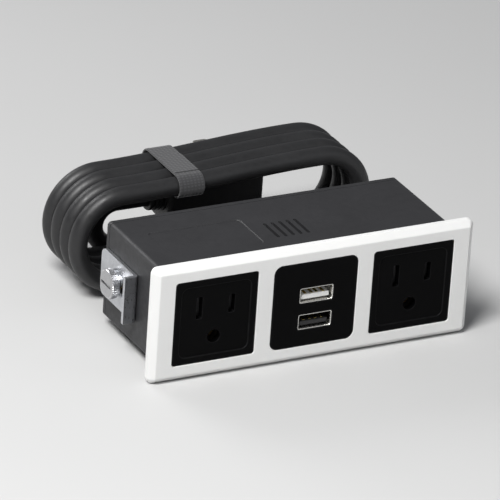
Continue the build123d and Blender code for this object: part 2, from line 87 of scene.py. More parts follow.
def circle(r, cx=0.0, cz=0.0, n=40):
    return [(cx + r * math.cos(2 * math.pi * i / n), cz + r * math.sin(2 * math.pi * i / n)) for i in range(n)]


def soft(pts, radii, n=5):
    """An open profile with its inner corners rounded."""
    out = [pts[0]]
    for i in range(1, len(pts) - 1):
        r = radii[i - 1]
        p0, p1, p2 = (Vector(p) for p in (pts[i - 1], pts[i], pts[i + 1]))
        a, b = (p0 - p1), (p2 - p1)
        ang = a.angle(b)
        if r <= 0 or ang > math.pi - 1e-3:
            out.append(tuple(p1))
            continue
        t = min(r / math.tan(ang / 2), a.length * 0.49, b.length * 0.49)
        s, e = p1 + a.normalized() * t, p1 + b.normalized() * t
        for k in range(n + 1):
            u = k / n
            q = s * (1 - u) ** 2 + p1 * 2 * u * (1 - u) + e * u * u
            out.append(tuple(q))
    out.append(pts[-1])
    return out


AXES = {
    "y": lambda u, v, w: (u, w, v),
    "z": lambda u, v, w: (u, v, w),
    "x": lambda u, v, w: (w, u, v),
}


class Build:
    def __init__(self, axis="y"):
        self.bm = bmesh.new()
        self.map = AXES[axis]

    def loop(self, pts, w):
        return [self.bm.verts.new(Vector(self.map(u, v, w)) * MM) for u, v in pts]

    def loft(self, loops, cyclic=False):
        pairs = list(zip(loops, loops[1:]))
        if cyclic:
            pairs.append((loops[-1], loops[0]))
        for a, b in pairs:
            n = len(a)
            for i in range(n):
                j = (i + 1) % n
                self.bm.faces.new((a[i], a[j], b[j], b[i]))
        return loops[-1]

    def fill(self, *loops):
        edges = []
        for lp in loops:
            for a, b in zip(lp, lp[1:] + lp[:1]):
                e = self.bm.edges.get((a, b)) or self.bm.edges.new((a, b))
                edges.append(e)
        bmesh.ops.triangle_fill(self.bm, use_beauty=True, use_dissolve=False, edges=edges)

    def fan(self, lp):
        """A face over one convex loop."""
        self.bm.faces.new(lp)

    def rbox(self, x0, x1, y0, y1, z0, z1, r=0.2, seg=2, taper=None):
        made = bmesh.ops.create_cube(self.bm, size=1.0)["verts"]
        for v in made:
            p = v.co
            v.co = Vector((
                (x0 + x1) / 2 + p.x * (x1 - x0), (y0 + y1) / 2 + p.y * (y1 - y0), (z0 + z1) / 2 + p.z * (z1 - z0)
            )) * MM
        if r > 0:
            edges = list({e for v in made for e in v.link_edges})
            bmesh.ops.bevel(self.bm, geom=edges, offset=r * MM, segments=seg, affect="EDGES", profile=0.5, clamp_overlap=True)

    def lathe(self, prof, origin, axis, n=48, closed=False, wave=None):
        """Turns profile points (radius, distance along axis) about the axis. closed joins the last point to the first."""
        ax = Vector(axis).normalized()
        ref = Vector((0, 0, 1)) if abs(ax.z) < 0.9 else Vector((1, 0, 0))
        e1 = ax.cross(ref).normalized()
        e2 = ax.cross(e1)
        o = Vector(origin)
        rings = []
        for k, (r, t) in enumerate(prof):
            c = o + ax * t
            if r < 1e-6:
                rings.append([self.bm.verts.new(c * MM)])
                continue
            ring = []
            for i in range(n):
                a = 2 * math.pi * i / n
                rr_ = r + (wave(k, i) if wave else 0.0)
                ring.append(self.bm.verts.new((c + e1 * rr_ * math.cos(a) + e2 * rr_ * math.sin(a)) * MM))
            rings.append(ring)
        pairs = list(zip(rings, rings[1:]))
        if closed:
            pairs.append((rings[-1], rings[0]))
        for a, b in pairs:
            if len(a) == 1 and len(b) == 1:
                continue
            if len(a) == 1 or len(b) == 1:
                tip, ring = (a[0], b) if len(a) == 1 else (b[0], a)
                for i in range(n):
                    self.bm.faces.new((tip, ring[i], ring[(i + 1) % n]))
                continue
            for i in range(n):
                j = (i + 1) % n
                self.bm.faces.new((a[i], a[j], b[j], b[i]))

    def tube(self, pts, radius, n=20, start=True, end=True):
        pts = [Vector(p) for p in pts]
        tang = [(pts[min(i + 1, len(pts) - 1)] - pts[max(i - 1, 0)]).normalized() for i in range(len(pts))]
        ref = Vector((0, 0, 1)) if abs(tang[0].z) < 0.9 else Vector((1, 0, 0))
        u = tang[0].cross(ref).normalized()
        rings = []
        for i, p in enumerate(pts):
            if i:
                rot = tang[i - 1].rotation_difference(tang[i])
                u = (rot @ u).normalized()
            v = tang[i].cross(u).normalized()
            r = radius(i) if callable(radius) else radius
            rings.append([self.bm.verts.new((p + u * r * math.cos(2 * math.pi * k / n) + v * r * math.sin(2 * math.pi * k / n)) * MM) for k in range(n)])
        self.loft(rings)
        if start:
            self.bm.faces.new(rings[0])
        if end:
            self.bm.faces.new(rings[-1])

    def done(self, name, body, material, nodes=(), slot=None, angle=35, weighted=True, cut=None):
        bm = self.bm
        bmesh.ops.remove_doubles(bm, verts=bm.verts, dist=1e-8)
        bmesh.ops.recalc_face_normals(bm, faces=bm.faces)
        me = bpy.data.meshes.new(name)
        bm.to_mesh(me)
        bm.free()
        ob = bpy.data.objects.new(name, me)
        bpy.context.scene.collection.objects.link(ob)
        if cut is not None:
            apply_cut(ob, cut)
            me = ob.data
        me.materials.clear()
        me.materials.append(material)
        for p in me.polygons:
            p.use_smooth = True
        me.set_sharp_from_angle(angle=math.radians(angle))
        if weighted:
            region_normals(me, angle)
        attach(ob, body)
        if nodes:
            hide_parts(*nodes)
        return ob


def region_normals(me, angle):
    """Custom normals in which each flat region counts with its whole area, so that flats stay flat right up to their rounded edges."""
    n, nl = len(me.polygons), len(me.loops)
    if not n:
        return
    normal = np.empty(n * 3)
    me.polygons.foreach_get("normal", normal)
    normal = normal.reshape(-1, 3)
    area = np.empty(n)
    me.polygons.foreach_get("area", area)
    start, count = np.empty(n, dtype=np.int64), np.empty(n, dtype=np.int64)
    me.polygons.foreach_get("loop_start", start)
    me.polygons.foreach_get("loop_total", count)
    vert, edge = np.empty(nl, dtype=np.int64), np.empty(nl, dtype=np.int64)
    me.loops.foreach_get("vertex_index", vert)
    me.loops.foreach_get("edge_index", edge)
    face = np.empty(nl, dtype=np.int64)
    for k in range(int(count.max())):
        has = count > k
        face[start[has] + k] = np.nonzero(has)[0]

    # pairs of faces that share an edge
    order = np.argsort(edge, kind="stable")
    e_sorted, f_sorted = edge[order], face[order]
    same = e_sorted[1:] == e_sorted[:-1]
    fa, fb = f_sorted[:-1][same], f_sorted[1:][same]
    bend = np.einsum("ij,ij->i", normal[fa], normal[fb])
    parent = list(range(n))

    def root(i):
        while parent[i] != i:
            parent[i] = parent[parent[i]]
            i = parent[i]
        return i

    level = bend > math.cos(math.radians(0.6))
    for i, j in zip(fa[level].tolist(), fb[level].tolist()):
        parent[root(j)] = root(i)
    roots = np.array([root(i) for i in range(n)])
    total = np.zeros(n)
    np.add.at(total, roots, area)
    total = total[roots]

    # every corner gathers the faces round its vertex that lie within the smoothing angle
    order = np.argsort(vert, kind="stable")
    group = np.bincount(vert, minlength=len(me.vertices))
    first = np.concatenate([[0], np.cumsum(group)[:-1]])
    reps = group[vert]
    corner = np.repeat(np.arange(nl), reps)
    offset = np.arange(len(corner)) - np.repeat(np.cumsum(reps) - reps, reps)
    other = face[order[first[vert[corner]] + offset]]
    own = face[corner]
    near = np.einsum("ij,ij->i", normal[own], normal[other]) > math.cos(math.radians(angle))
    out = normal[face] * 1e-18
    np.add.at(out, corner[near], normal[other[near]] * (total[other[near]] ** 2)[:, None])
    size = np.linalg.norm(out, axis=1)
    size[size == 0] = 1.0
    out /= size[:, None]

    # narrow faces between two flats are the rounded edges, which materials tint lighter: partly as wear, partly as a
    # painted highlight
    co = np.empty(len(me.vertices) * 3)
    me.vertices.foreach_get("co", co)
    co = co.reshape(-1, 3)
    ends = np.empty(len(me.edges) * 2, dtype=np.int64)
    me.edges.foreach_get("vertices", ends)
    ends = ends.reshape(-1, 2)
    length = np.linalg.norm(co[ends[:, 0]] - co[ends[:, 1]], axis=1)[edge]
    longest = np.full(n, 1e-9)
    np.maximum.at(longest, face, length)
    sharpest = np.ones(n)
    np.minimum.at(sharpest, fa, bend)
    np.minimum.at(sharpest, fb, bend)
    wear_and_highlight = ((total / longest < 0.0003) & (sharpest < 0.9994)).astype(np.float32)
    me.attributes.new("edge_wear_and_highlight", "FLOAT", "FACE").data.foreach_set("value", wear_and_highlight)
    me.normals_split_custom_set(out.tolist())


def apply_cut(ob, cutter):
    """Takes the cutter's closed solids out of ob's mesh."""
    bmesh.ops.recalc_face_normals(cutter.bm, faces=cutter.bm.faces)
    me = bpy.data.meshes.new("cutter")
    cutter.bm.to_mesh(me)
    cutter.bm.free()
    co = bpy.data.objects.new("cutter", me)
    bpy.context.scene.collection.objects.link(co)
    m = ob.modifiers.new("cut", "BOOLEAN")
    m.operation, m.solver, m.object = "DIFFERENCE", "EXACT", co
    m.use_self = True
    dg = bpy.context.evaluated_depsgraph_get()
    dg.update()
    new = bpy.data.meshes.new_from_object(ob.evaluated_get(dg))
    tidy = bmesh.new()
    tidy.from_mesh(new)
    bmesh.ops.remove_doubles(tidy, verts=tidy.verts, dist=2e-6)
    bmesh.ops.dissolve_degenerate(tidy, edges=tidy.edges, dist=2e-6)
    tidy.to_mesh(new)
    tidy.free()
    ob.modifiers.clear()
    old = ob.data
    ob.data = new
    new.name = ob.name
    bpy.data.meshes.remove(old)
    bpy.data.objects.remove(co)
    bpy.data.meshes.remove(me)


# ------------------------------------------------------------------ materials
class Graph:
    def __init__(self, name):
        self.mat = bpy.data.materials.new(name)
        self.mat.use_nodes = True
        self.t = self.mat.node_tree
        self.t.nodes.clear()
        self.out = self.n("ShaderNodeOutputMaterial")
        self.p = self.n("ShaderNodeBsdfPrincipled")
        self.link(self.p.outputs[0], self.out.inputs[0])
        self.co = self.n("ShaderNodeTexCoord").outputs["Object"]

    def n(self, kind, **kw):
        node = self.t.nodes.new(kind)
        for k, v in kw.items():
            setattr(node, k, v)
        return node

    def link(self, a, b):
        self.t.links.new(a, b)

    def noise(self, scale, detail=4.0, rough=0.5, stretch=None, distort=0.0):
        nz = self.n("ShaderNodeTexNoise")
        nz.inputs["Scale"].default_value = scale
        nz.inputs["Detail"].default_value = detail
        nz.inputs["Roughness"].default_value = rough
        nz.inputs["Distortion"].default_value = distort
        if stretch:
            mp = self.n("ShaderNodeMapping")
            mp.inputs["Scale"].default_value = stretch
            self.link(self.co, mp.inputs["Vector"])
            self.link(mp.outputs[0], nz.inputs["Vector"])
        else:
            self.link(self.co, nz.inputs["Vector"])
        return nz.outputs["Fac"]

    def remap(self, src, a, b, lo=0.3, hi=0.7):
        m = self.n("ShaderNodeMapRange")
        m.inputs["From Min"].default_value = lo
        m.inputs["From Max"].default_value = hi
        m.inputs["To Min"].default_value = a
        m.inputs["To Max"].default_value = b
        self.link(src, m.inputs["Value"])
        return m.outputs["Result"]

    def mix(self, fac, a, b):
        m = self.n("ShaderNodeMix", data_type="RGBA")
        for s, v in ((m.inputs[6], a), (m.inputs[7], b)):
            if isinstance(v, (tuple, list)):
                s.default_value = (*v[:3], 1)
            else:
                self.link(v, s)
        if isinstance(fac, float):
            m.inputs[0].default_value = fac
        else:
            self.link(fac, m.inputs[0])
        return m.outputs[2]

    def bump(self, src, strength, distance, normal=None):
        b = self.n("ShaderNodeBump")
        b.inputs["Strength"].default_value = strength
        b.inputs["Distance"].default_value = distance
        self.link(src, b.inputs["Height"])
        if normal is not None:
            self.link(normal, b.inputs["Normal"])
        return b.outputs[0]

    def set(self, **kw):
        for k, v in kw.items():
            s = self.p.inputs[k.replace("_", " ")]
            if hasattr(v, "is_linked") or hasattr(v, "links"):
                self.link(v, s)
            else:
                s.default_value = v


def scaled(c, k):
    return tuple(min(1.0, x * k) for x in c[:3])


def plastic(name, base, rough=0.4, rvar=0.06, var=0.05, grain=2600.0, gdist=1.2e-5, gstr=0.25, edge=None, sss=0.0, spec=0.5, coat=0.0, ior=1.5):
    g = Graph(name)
    big = g.noise(55.0, 3.0)
    fine = g.noise(900.0, 6.0, 0.6)
    tone = g.mix(g.remap(big, 0.0, 1.0), scaled(base, 1 - var), scaled(base, 1 + var * 0.6))
    tone = g.mix(g.remap(fine, 0.0, 0.35), tone, scaled(base, 1 - var * 1.6))
    # rounded edges tinted lighter by the edge colour: partly wear, partly a painted highlight
    if edge:
        att = g.n("ShaderNodeAttribute", attribute_type="GEOMETRY", attribute_name="edge_wear_and_highlight")
        e = g.n("ShaderNodeMath", operation="MULTIPLY")
        g.link(att.outputs["Fac"], e.inputs[0])
        g.link(g.remap(g.noise(300.0, 3.0), 0.35, 1.0), e.inputs[1])
        tone = g.mix(e.outputs[0], tone, edge)
    g.set(Base_Color=tone, Roughness=g.remap(g.noise(420.0, 5.0, 0.65), rough - rvar, rough + rvar))
    vor = g.n("ShaderNodeTexVoronoi", feature="SMOOTH_F1")
    vor.inputs["Scale"].default_value = grain
    g.link(g.co, vor.inputs["Vector"])
    nrm = g.bump(vor.outputs["Distance"], gstr, gdist)
    nrm = g.bump(g.noise(260.0, 2.0), 0.10, 3e-5, nrm)
    g.set(Normal=nrm)
    g.p.inputs["Specular IOR Level"].default_value = spec
    g.p.inputs["IOR"].default_value = ior
    if coat:
        g.p.inputs["Coat Weight"].default_value = coat
        g.p.inputs["Coat Roughness"].default_value = 0.12
    if sss:
        g.p.inputs["Subsurface Weight"].default_value = sss
        g.p.inputs["Subsurface Radius"].default_value = (1.0, 0.95, 0.85)
        g.p.inputs["Subsurface Scale"].default_value = 0.0012
    return g.mat


def metal(name, base, rough=0.28, rvar=0.08, var=0.10, stretch=(1, 1, 1), lines=2500.0, ldist=4e-6, tint=None):
    g = Graph(name)
    streak = g.noise(lines, 3.0, 0.6, stretch=stretch)
    cloud = g.noise(180.0, 4.0, 0.6)
    tone = g.mix(g.remap(cloud, 0.0, 1.0), scaled(base, 1 - var), scaled(base, 1 + var * 0.5))
    tone = g.mix(g.remap(streak, 0.0, 0.5), tone, tint or scaled(base, 0.82))
    # rounded edges brightened: partly wear, partly a painted highlight
    att = g.n("ShaderNodeAttribute", attribute_type="GEOMETRY", attribute_name="edge_wear_and_highlight")
    e = g.n("ShaderNodeMath", operation="MULTIPLY")
    g.link(att.outputs["Fac"], e.inputs[0])
    e.inputs[1].default_value = 0.5
    tone = g.mix(e.outputs[0], tone, scaled(base, 1.25))
    r1 = g.remap(streak, rough - rvar, rough + rvar)
    g.set(Base_Color=tone, Roughness=r1, Metallic=1.0)
    g.set(Normal=g.bump(streak, 0.35, ldist))
    return g.mat


def woven(name, base, pitch=1400.0):
    g = Graph(name)
    waves = []
    sep, add, joined = g.n("ShaderNodeSeparateXYZ"), g.n("ShaderNodeMath", operation="ADD"), g.n("ShaderNodeCombineXYZ")
    g.link(g.co, sep.inputs[0])
    g.link(sep.outputs["Y"], add.inputs[0])
    g.link(sep.outputs["Z"], add.inputs[1])
    g.link(add.outputs[0], joined.inputs["X"])
    for source in (g.co, joined.outputs[0]):
        w = g.n("ShaderNodeTexWave", wave_type="BANDS", bands_direction="X")
        w.inputs["Scale"].default_value = pitch / 6.2832 * 1.0
        w.inputs["Distortion"].default_value = 0.6
        w.inputs["Detail"].default_value = 2.0
        w.inputs["Detail Scale"].default_value = 3.0
        g.link(source, w.inputs["Vector"])
        waves.append(w.outputs["Fac"])
    mx = g.n("ShaderNodeMath", operation="MULTIPLY")
    g.link(waves[0], mx.inputs[0])
    g.link(waves[1], mx.inputs[1])
    fuzz = g.noise(5200.0, 5.0, 0.7)
    tone = g.mix(mx.outputs[0], scaled(base, 0.6), scaled(base, 1.7))
    tone = g.mix(g.remap(fuzz, 0.0, 0.5), tone, scaled(base, 2.6))
    g.set(Base_Color=tone, Roughness=g.remap(fuzz, 0.72, 0.95))
    nrm = g.bump(mx.outputs[0], 0.6, 1.2e-4)
    g.set(Normal=g.bump(fuzz, 0.35, 5e-5, nrm))
    g.p.inputs["Sheen Weight"].default_value = 0.35
    g.p.inputs["Sheen Roughness"].default_value = 0.5
    return g.mat


def clear_glass(name):
    g = Graph(name)
    smudge = g.noise(600.0, 4.0)
    g.set(Base_Color=g.mix(g.remap(smudge, 0.0, 1.0), (0.86, 0.90, 0.90), (0.95, 0.97, 0.97)))
    g.set(Roughness=g.remap(smudge, 0.03, 0.12), Normal=g.bump(smudge, 0.1, 1e-5))
    g.p.inputs["Transmission Weight"].default_value = 0.75
    return g.mat


# the edge colours below tint rounded edges lighter: partly wear, partly a painted highlight
M = {
    "white": plastic("white_trim_plastic", (0.80, 0.80, 0.79), rough=0.36, rvar=0.05, var=0.02, grain=3400, gdist=6e-6, gstr=0.18, sss=0.06),
    "face": plastic("black_face_plastic", (0.0016, 0.0016, 0.0018), rough=0.46, rvar=0.06, var=0.15, grain=3800, gdist=1.1e-5, gstr=0.3, edge=(0.009, 0.009, 0.0095), spec=0.05),
    "housing": plastic("black_housing_plastic", (0.022, 0.022, 0.024), rough=0.55, rvar=0.07, var=0.14, grain=2300, gdist=2.2e-5, gstr=0.45, edge=(0.034, 0.034, 0.036)),
    "case": plastic("grey_case_plastic", (0.07, 0.07, 0.075), rough=0.52, var=0.1, edge=(0.12, 0.12, 0.12)),
    "shutter": plastic("shutter_acetal", (0.035, 0.035, 0.037), rough=0.4, var=0.1),
    "white_tongue": plastic("white_tongue_plastic", (0.86, 0.86, 0.84), rough=0.34, var=0.03, sss=0.05),
    "black_tongue": plastic("black_tongue_plastic", (0.014, 0.014, 0.015), rough=0.38, var=0.1),
    "cord": plastic("cord_jacket_pvc", (0.020, 0.020, 0.021), rough=0.46, rvar=0.10, var=0.2, grain=1500, gdist=2.5e-5, gstr=0.25, spec=0.5),
    "plug": plastic("plug_moulded_pvc", (0.024, 0.024, 0.025), rough=0.55, rvar=0.08, var=0.16, grain=1900, gdist=3e-5, gstr=0.4, edge=(0.05, 0.05, 0.05)),
    "board": plastic("board_solder_mask", (0.03, 0.20, 0.09), rough=0.3, var=0.2, coat=0.4),
    "ferrite": plastic("sintered_ferrite", (0.06, 0.06, 0.065), rough=0.7, var=0.25, grain=5000, gdist=3e-5, gstr=0.6),
    "tape": plastic("winding_tape", (0.80, 0.60, 0.08), rough=0.28, var=0.12),
    "sleeve": plastic("capacitor_sleeve", (0.02, 0.04, 0.12), rough=0.3, var=0.15),
    "chip": plastic("component_epoxy", (0.022, 0.022, 0.022), rough=0.6, var=0.15),
    "wire_black": plastic("wire_black_pvc", (0.016, 0.016, 0.016), rough=0.4, var=0.2),
    "wire_white": plastic("wire_white_pvc", (0.80, 0.80, 0.77), rough=0.4, var=0.06),
    "wire_green": plastic("wire_green_pvc", (0.04, 0.30, 0.10), rough=0.4, var=0.12),
    "nylon": plastic("terminal_nylon", (0.60, 0.07, 0.05), rough=0.32, var=0.1),
    "brass": metal("stamped_brass", (0.78, 0.56, 0.25), rough=0.30, stretch=(1, 0.15, 1)),
    "insert": metal("machined_brass", (0.80, 0.60, 0.30), rough=0.25, stretch=(1, 1, 1)),
    "nickel": metal("nickel_shell", (0.74, 0.73, 0.70), rough=0.26, rvar=0.06, stretch=(1, 0.2, 1)),
    "gold": metal("gold_flash", (0.92, 0.68, 0.28), rough=0.22, stretch=(1, 0.2, 1)),
    "zinc": metal("zinc_plated_steel", (0.62, 0.63, 0.65), rough=0.34, rvar=0.10, var=0.2, stretch=(1, 1, 0.25), tint=(0.50, 0.52, 0.56)),
    "screw": metal("screw_steel", (0.56, 0.56, 0.57), rough=0.40, rvar=0.06, stretch=(1, 1, 1)),
    "spring": metal("spring_wire", (0.55, 0.55, 0.56), rough=0.25),
    "blade": metal("plug_nickel_brass", (0.76, 0.73, 0.66), rough=0.31, rvar=0.05, var=0.06, stretch=(1, 0.12, 1), lines=1600.0, ldist=1.5e-6, tint=(0.70, 0.67, 0.60)),
    "tie": woven("tie_strap_weave", (0.030, 0.030, 0.032)),
    "glass": clear_glass("fuse_glass"),
}


# ------------------------------------------------------------------ bezel
b = Build()
prof = soft([(0.2, 0.0), (0.0, -0.2), (0.0, -FRONT + BEVEL), (BEVEL, -FRONT), (BEVEL + 0.9, -FRONT)], [0.1, 0.9, 0.95], n=6)
outer = [b.loop(rrect(W - 2 * i, H - 2 * i, max(R - i, 0.42), n=10), y) for i, y in prof]
b.loft(outer)
HOLES = [(-OUT_X, AC_W, AC_W, 1.2), (0.0, USB_OW, USB_OH, 3.2), (OUT_X, AC_W, AC_W, 1.2)]
fronts, backs = [], []
hprof = soft([(0.55, -FRONT), (0.0, -FRONT), (0.0, -1.4)], [0.42], n=6)
for cx, w, h, r in HOLES:
    loops = [b.loop(rrect(w + 2 * o, h + 2 * o, r + o, cx=cx, n=8), y) for o, y in hprof]
    b.loft(loops)
    fronts.append(loops[0])
    backs.append(loops[-1])
b.fill(outer[-1], *fronts)
pocket = [b.loop(rrect(122.0 + 2 * o, 39.6 + 2 * o, 0.8 + o, n=10), y) for o, y in ((0.15, 0.0), (0.0, -0.15), (0.0, -1.4))]
b.loft([outer[0], pocket[0]])
b.loft(pocket)
b.fill(pocket[-1], *backs)
for sx in (-1, 1):
    for sz in (-1, 1):
        cx, cz = sx * 19.75, sz * 11.0
        lv = [(1.2, 5.0, -1.46), (1.2, 5.0, 3.9), (0.9, 4.6, 4.45), (0.7, 4.3, 4.6)]
        loops = [b.loop(rrect(w_, h_, 0.25, cx=cx, cz=cz, n=3), y) for w_, h_, y in lv]
        b.loft(loops)
        b.fan(loops[0])
        b.fan(loops[-1])
b.done("bezel_trim", "bezel", M["white"], ["bezel"], "white_trim", angle=50)

# ------------------------------------------------------------------ outlet faces
for side, cx in (("left", -OUT_X), ("right", OUT_X)):
    b = Build()
    p = soft([(1.2, -AC_FRONT), (0.0, -AC_FRONT), (0.0, -1.3), (0.6, -1.3)], [0.45, 0.08], n=6)
    outer = [b.loop(rrect(AC_FACE - 2 * i, AC_FACE - 2 * i, max(1.1 - i, 0.3) + (0.25 if i > 0.9 else 0), cx=cx), y) for i, y in p]
    b.loft(outer)
    rim = [b.loop(rrect(27.0 + 2 * o, 27.0 + 2 * o, 2.5 + o, cx=cx), y) for o, y in soft([(0.5, -AC_FRONT), (0.12, -AC_FRONT), (0.0, -AC_FLOOR), (-0.4, -AC_FLOOR)], [0.2, 0.25], n=4)]
    b.loft([outer[0], rim[0]])
    b.loft(rim)
    skirt = [b.loop(rrect(w, w, r, cx=cx), y) for w, r, y in ((30.8, 0.7, -1.3), (30.8, 0.7, 5.7), (30.3, 0.6, 6.0), (28.0, 0.4, 6.0), (27.6, 0.3, 5.7), (27.6, 0.3, -1.0))]
    b.loft([outer[-1], skirt[0]])
    b.loft(skirt)
    hp = soft([(0.34, -AC_FLOOR), (0.0, -AC_FLOOR), (0.0, -1.0)], [0.26], n=5)
    tops, ends = [], []
    for kind, hx, hz, w_, h_ in (("s", cx - HALF, BLADE_Z, 2.3, 8.4), ("s", cx + HALF, BLADE_Z, 2.3, 7.0), ("g", cx, GROUND_Z, 0, 0)):
        if kind == "s":
            loops = [b.loop(rrect(w_ + 2 * o, h_ + 2 * o, 0.32 + o, cx=hx, cz=hz, n=4), y) for o, y in hp]
        else:
            loops = [b.loop(circle(2.5 + o, hx, hz, n=48), y) for o, y in hp]
        b.loft(loops)
        tops.append(loops[0])
        ends.append(loops[-1])
    b.fill(rim[-1], *tops)
    b.fill(skirt[-1], *ends)
    for sz in (-1, 1):
        for dx in (-8, 8):
            z0, z1 = sorted((sz * 15.2, sz * 16.0))
            b.rbox(cx + dx - 2, cx + dx + 2, 0.25, 1.8, z0, z1, r=0.25)
    b.done(f"{side}_outlet_front", "base", M["face"], [f"{side}_outlet_face"], "black_face", angle=50)

# ------------------------------------------------------------------ charger face
b = Build()
p = soft([(1.4, -USB_FRONT), (0.0, -USB_FRONT), (0.0, -1.3), (1.0, -1.3)], [0.5, 0.08], n=6)
outer = [b.loop(rrect(USB_FW - 2 * i, USB_FH - 2 * i, max(3.1 - i, 0.7), n=10), y) for i, y in p]
b.loft(outer)
skirt = [b.loop(rrect(w, w, r, n=10), y) for w, r, y in ((30.8, 0.7, -1.3), (30.8, 0.7, 3.7), (30.3, 0.6, 4.0), (28.0, 0.4, 4.0), (27.6, 0.3, 3.7), (27.6, 0.3, -1.3))]
b.loft([outer[-1], skirt[0]])
b.loft(skirt)
hp = soft([(0.5, -USB_FRONT), (0.0, -USB_FRONT), (0.0, -1.3)], [0.4], n=5)
tops, ends = [], []
for z in (USB_UP, USB_LOW):
    loops = [b.loop(rrect(13.4 + 2 * o, 6.0 + 2 * o, 0.7 + o, cx=USB_X, cz=z, n=6), y) for o, y in hp]
    b.loft(loops)
    tops.append(loops[0])
    ends.append(loops[-1])
b.fill(outer[0], *tops)
b.fill(skirt[-1], *ends)
for sz in (-1, 1):
    for dx in (-8, 8):
        z0, z1 = sorted((sz * 15.2, sz * 16.0))
        b.rbox(dx - 2, dx + 2, 0.25, 1.8, z0, z1, r=0.25)
b.done("charger_front", "base", M["face"], ["usb_face"], "black_face", angle=50)

# ------------------------------------------------------------------ USB ports
for name, z in (("upper", USB_UP), ("lower", USB_LOW)):
    b = Build()
    steps = [(13.1, 5.7, 0.6, 12.0), (13.1, 5.7, 0.6, -3.35), (13.25, 5.85, 0.65, -3.7), (13.2, 5.8, 0.62, -3.8), (12.75, 5.35, 0.45, -3.8), (12.45, 5.05, 0.36, -3.6), (12.3, 4.9, 0.3, -3.2), (12.3, 4.9, 0.3, 11.4)]
    loops = [b.loop(rrect(w, h, r, cx=USB_X, cz=z, n=5), y) for w, h, r, y in steps]
    b.loft(loops)
    b.fan(loops[0])
    b.fan(loops[-1])
    cut = Build()
    for dx in (-3.2, 3.2):
        for sz in (-1, 1):
            cut.rbox(USB_X + dx - 0.9, USB_X + dx + 0.9, 1.0, 5.5, z + sz * 2.65 - 0.4, z + sz * 2.65 + 0.4, r=0)
    b.done(f"{name}_port_shell", "base", M["nickel"], [f"{name}_usb_shell"], "usb_nickel", angle=40, cut=cut)
    b = Build()
    b.rbox(USB_X - 5.55, USB_X + 5.55, -2.8, 9.0, z - 1.95, z - 0.15, r=0.28, seg=3)
    b.rbox(USB_X - 5.9, USB_X + 5.9, 8.6, 11.3, z - 2.2, z + 2.2, r=0.2)
    # end stops beside the strips
    for k in (-2.25, 0.0, 2.25):
        b.rbox(USB_X + k - 0.32, USB_X + k + 0.32, -2.1, 8.6, z - 0.3, z - 0.02, r=0.08, seg=1)
    b.done(f"{name}_port_tongue", "base", M["white_tongue" if name == "upper" else "black_tongue"], [f"{name}_usb_tongue"], "white_tongue" if name == "upper" else "black_tongue", angle=50)
b = Build()
for z in (USB_UP, USB_LOW):
    for k in (-3.5, -1.0, 1.0, 3.5):
        x = USB_X + k
        b.rbox(x - 0.5, x + 0.5, -2.1, 8.5, z - 0.15, z, r=0.06, seg=2)
b.done("port_contact_strips", "base", M["gold"], ["usb_contacts"], "usb_gold", angle=50)

# ------------------------------------------------------------------ housing
b = Build()
fl = [(0.2, -1.3), (0.0, -1.1), (0.0, -0.15), (0.12, 0.0)]
flange = [b.loop(rrect(121.6 - 2 * i, 39.2 - 2 * i, 0.6), y) for i, y in fl]
b.loft(flange)
body = [b.loop(rrect(w, h, r), y) for w, h, r, y in (
    (116.6, 37.4, 1.8, 0.0), (116.1, 36.9, 1.6, 0.12), (116.0, 36.8, 1.5, 0.4), (116.0, 36.8, 1.5, 43.7), (115.5, 36.3, 1.3, 43.97),
    (113.3, 34.1, 0.9, 43.97), (113.0, 33.8, 0.8, 43.7), (113.0, 33.8, 0.8, 0.2))]
b.loft([flange[-1], body[0]])
b.loft(body)
tops, ends = [], []
for cx in (-OUT_X, 0.0, OUT_X):
    loops = [b.loop(rrect(31.0, 31.0, 0.8, cx=cx), y) for y in (-1.3, 0.2)]
    b.loft(loops)
    tops.append(loops[0])
    ends.append(loops[-1])
for sx in (-1, 1):
    for sz in (-1, 1):
        loops = [b.loop(rrect(1.4, 5.2, 0.1, cx=sx * 19.75, cz=sz * 11.0, n=2), y) for y in (-1.3, 0.2)]
        b.loft(loops)
        tops.append(loops[0])
        ends.append(loops[-1])
b.fill(flange[0], *tops)
b.fill(body[-1], *ends)
cut = Build()
for i in range(-2, 3):
    for sz in (-1, 1):
        loops = [cut.loop(rrect(1.2, 12.0, 0.58, cx=i * 3.0, n=5), 0) for _ in range(1)]
        for v in loops[0]:
            x, y, zz = v.co
            v.co = Vector((x, 20 * MM + zz, sz * 16.0 * MM))
        top = [cut.bm.verts.new((v.co.x, v.co.y, sz * 19.5 * MM)) for v in loops[0]]
        cut.loft([loops[0], top])
        cut.fan(loops[0])
        cut.fan(top)
for sx in (-1, 1):
    cut.lathe([(0, 49), (2.82, 49), (2.82, 60), (0, 60)], (0, 34, 0), (sx, 0, 0), n=40)
# shallow blank label fields in the top and bottom
for sz in (-1, 1):
    rows = [[cut.bm.verts.new((x * MM, (y + 22.0) * MM, sz * z * MM)) for x, y in rrect(w, h, r, cx=-31.0, n=6)] for w, h, r, z in ((36.0, 20.0, 1.4, 18.15), (36.7, 20.7, 1.75, 18.45), (36.7, 20.7, 1.75, 19.2))]
    cut.loft(rows)
    cut.fan(rows[0])
    cut.fan(rows[-1])
shell = b.done("housing_shell", "base", M["housing"], ["housing"], "black_housing", angle=40, cut=cut)
b = Build()
for sx in (-1, 1):
    b.rbox(sx * 19.5 - 0.75, sx * 19.5 + 0.75, 5, 30, -17.0, 17.0, r=0.2)
    b.lathe([(2.82, 50.5), (4.3, 50.5), (4.5, 50.7), (4.5, 56.6), (2.82, 56.6)], (0, 34, 0), (sx, 0, 0), n=40, closed=True)
    for sz in (-1, 1):
        b.lathe([(1.5, 30), (3.0, 30), (3.2, 30.2), (3.2, 43.95), (1.5, 43.95)], (sx * 53.3, 0, sz * 13.7), (0, 1, 0), n=32, closed=True)
b.done("housing_bosses", "base", M["housing"], [], "black_housing", angle=40)

